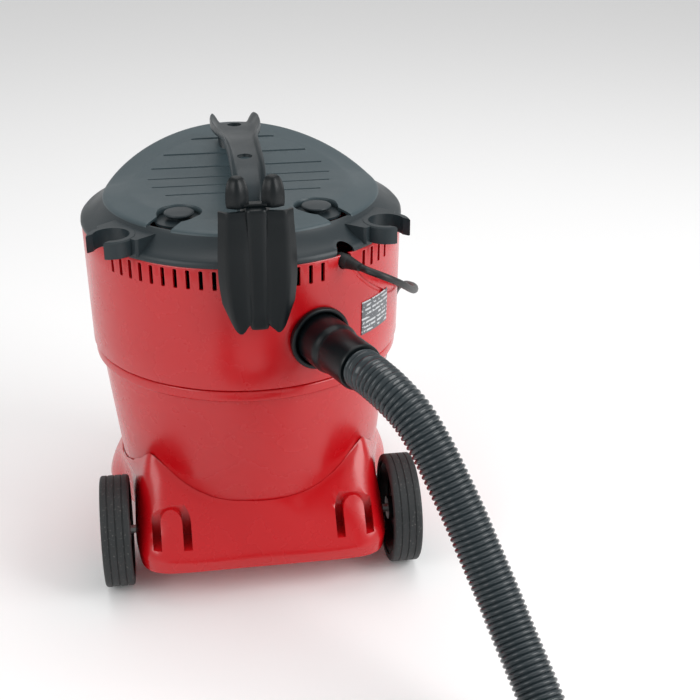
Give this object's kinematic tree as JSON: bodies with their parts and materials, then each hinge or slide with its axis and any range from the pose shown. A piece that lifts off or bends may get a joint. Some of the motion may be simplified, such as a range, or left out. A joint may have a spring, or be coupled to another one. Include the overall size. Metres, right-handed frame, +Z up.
{
  "type": "shop vacuum",
  "caption": "Wheeled drum vacuum with lift-off motor head, carrying handle, rear cable holder, blow port, ribbed suction hose and mains lead",
  "frame": {"origin": "on the floor, under the middle of the vacuum's box without its lead and hose, which is the drum's axis", "axes": "+Z up, +Y towards the front with the suction inlet, +X to the right as seen from behind"},
  "size_m": [0.57, 1.49, 0.52],
  "materials": {
    "red_shell": "glossy injection moulded",
    "charcoal_shell": "fine grained",
    "slate_lid": "fine grained",
    "black_plastic": "satin",
    "tyre": "tread pattern",
    "rubber": "smooth",
    "hose": "ribbed",
    "steel": "turned",
    "filter_paper": "pleated",
    "white_plastic": "satin",
    "copper": "wound",
    "circuit_board": "lacquered"
  },
  "bodies": {
    "base": {"chassis": "red_shell", "container": "red_shell", "rim_seal": "rubber", "suction_inlet": "black_plastic", "inlet_deflector": "black_plastic", "wheel_axle_left": "steel", "wheel_axle_right": "steel"},
    "wheel_left": {"wheel_rim_left": "black_plastic", "wheel_tyre_left": "tyre", "wheel_cap_left": "black_plastic"},
    "wheel_right": {"wheel_rim_right": "black_plastic", "wheel_tyre_right": "tyre", "wheel_cap_right": "black_plastic"},
    "caster_left": {"caster_fork_left": "black_plastic", "caster_pin_left": "steel"},
    "caster_right": {"caster_fork_right": "black_plastic", "caster_pin_right": "steel"},
    "caster_roller_left": {"caster_wheel_left": "tyre"},
    "caster_roller_right": {"caster_wheel_right": "tyre"},
    "head": {"head_housing": "red_shell", "head_skirt": "charcoal_shell", "top_lid": "slate_lid", "parking_peg_left": "slate_lid", "parking_peg_right": "slate_lid", "carry_handle": "charcoal_shell", "cable_holder": "black_plastic", "cable_bracket": "black_plastic", "blow_port": "black_plastic", "blow_port_grille": "black_plastic", "rating_plate": "white_plastic", "front_panel": "charcoal_shell", "control_board": "circuit_board", "switch_module": "black_plastic", "regulator_module": "black_plastic", "tool_socket": "black_plastic", "socket_flap_pin": "steel", "latch_pin_left": "steel", "latch_pin_right": "steel", "motor_deck": "black_plastic", "motor_seal": "rubber", "motor_can": "steel", "filter_cage": "black_plastic", "filter_cartridge": "filter_paper", "cable_gland": "black_plastic", "mains_cable": "rubber", "mains_coil": "rubber", "mains_tail": "rubber", "mains_plug": "rubber"},
    "switch": {"switch_knob": "red_shell"},
    "regulator": {"regulator_knob": "red_shell"},
    "flap": {"socket_flap": "charcoal_shell"},
    "latch_left": {"latch_left": "black_plastic"},
    "latch_right": {"latch_right": "black_plastic"},
    "armature": {"motor_armature": "copper"},
    "float": {"float_valve": "white_plastic"},
    "hose": {"hose_connector": "black_plastic", "suction_hose": "hose", "hose_coil": "hose", "hose_tail": "hose", "hose_end_cuff": "black_plastic"}
  },
  "joints": [
    {"name": "wheel_spin_left", "type": "hinge", "parent": "base", "child": "wheel_left", "pos_m": [-0.17, -0.122, 0.066], "axis": [1, 0, 0], "continuous": true},
    {"name": "wheel_spin_right", "type": "hinge", "parent": "base", "child": "wheel_right", "pos_m": [0.17, -0.122, 0.066], "axis": [1, 0, 0], "continuous": true},
    {"name": "caster_swivel_left", "type": "hinge", "parent": "base", "child": "caster_left", "pos_m": [-0.095, 0.132, 0.06], "axis": [0, 0, 1], "continuous": true},
    {"name": "caster_swivel_right", "type": "hinge", "parent": "base", "child": "caster_right", "pos_m": [0.095, 0.132, 0.06], "axis": [0, 0, 1], "continuous": true},
    {"name": "caster_roll_left", "type": "hinge", "parent": "caster_left", "child": "caster_roller_left", "pos_m": [-0.095, 0.116, 0.019], "axis": [1, 0, 0], "continuous": true},
    {"name": "caster_roll_right", "type": "hinge", "parent": "caster_right", "child": "caster_roller_right", "pos_m": [0.095, 0.116, 0.019], "axis": [1, 0, 0], "continuous": true},
    {"name": "head_lift", "type": "slide", "parent": "base", "child": "head", "axis": [0, 0, 1], "range_m": [0, 0.22]},
    {"name": "switch_turn", "type": "hinge", "parent": "head", "child": "switch", "pos_m": [-0.052, 0.19, 0.352], "axis": [0, 1, 0], "range_deg": [-45, 45]},
    {"name": "regulator_turn", "type": "hinge", "parent": "head", "child": "regulator", "pos_m": [0.052, 0.19, 0.352], "axis": [0, 1, 0], "range_deg": [-135, 135]},
    {"name": "flap_open", "type": "hinge", "parent": "head", "child": "flap", "pos_m": [0, 0.198, 0.378], "axis": [1, 0, 0], "range_deg": [0, 110]},
    {"name": "latch_open_left", "type": "hinge", "parent": "head", "child": "latch_left", "pos_m": [-0.17306, 0.09202, 0.306], "axis": [0.4695, 0.8829, 0], "range_deg": [0, 50]},
    {"name": "latch_open_right", "type": "hinge", "parent": "head", "child": "latch_right", "pos_m": [0.17306, 0.09202, 0.306], "axis": [0.4695, -0.8829, 0], "range_deg": [0, 50]},
    {"name": "motor_spin", "type": "hinge", "parent": "head", "child": "armature", "pos_m": [0, 0, 0.33], "axis": [0, 0, 1], "continuous": true},
    {"name": "float_rise", "type": "slide", "parent": "head", "child": "float", "axis": [0, 0, 1], "range_m": [0, 0.03]},
    {"name": "hose_pull", "type": "slide", "parent": "head", "child": "hose", "axis": [0.3616, -0.9323, 0], "range_m": [-0.018, 0.06]}
  ]
}
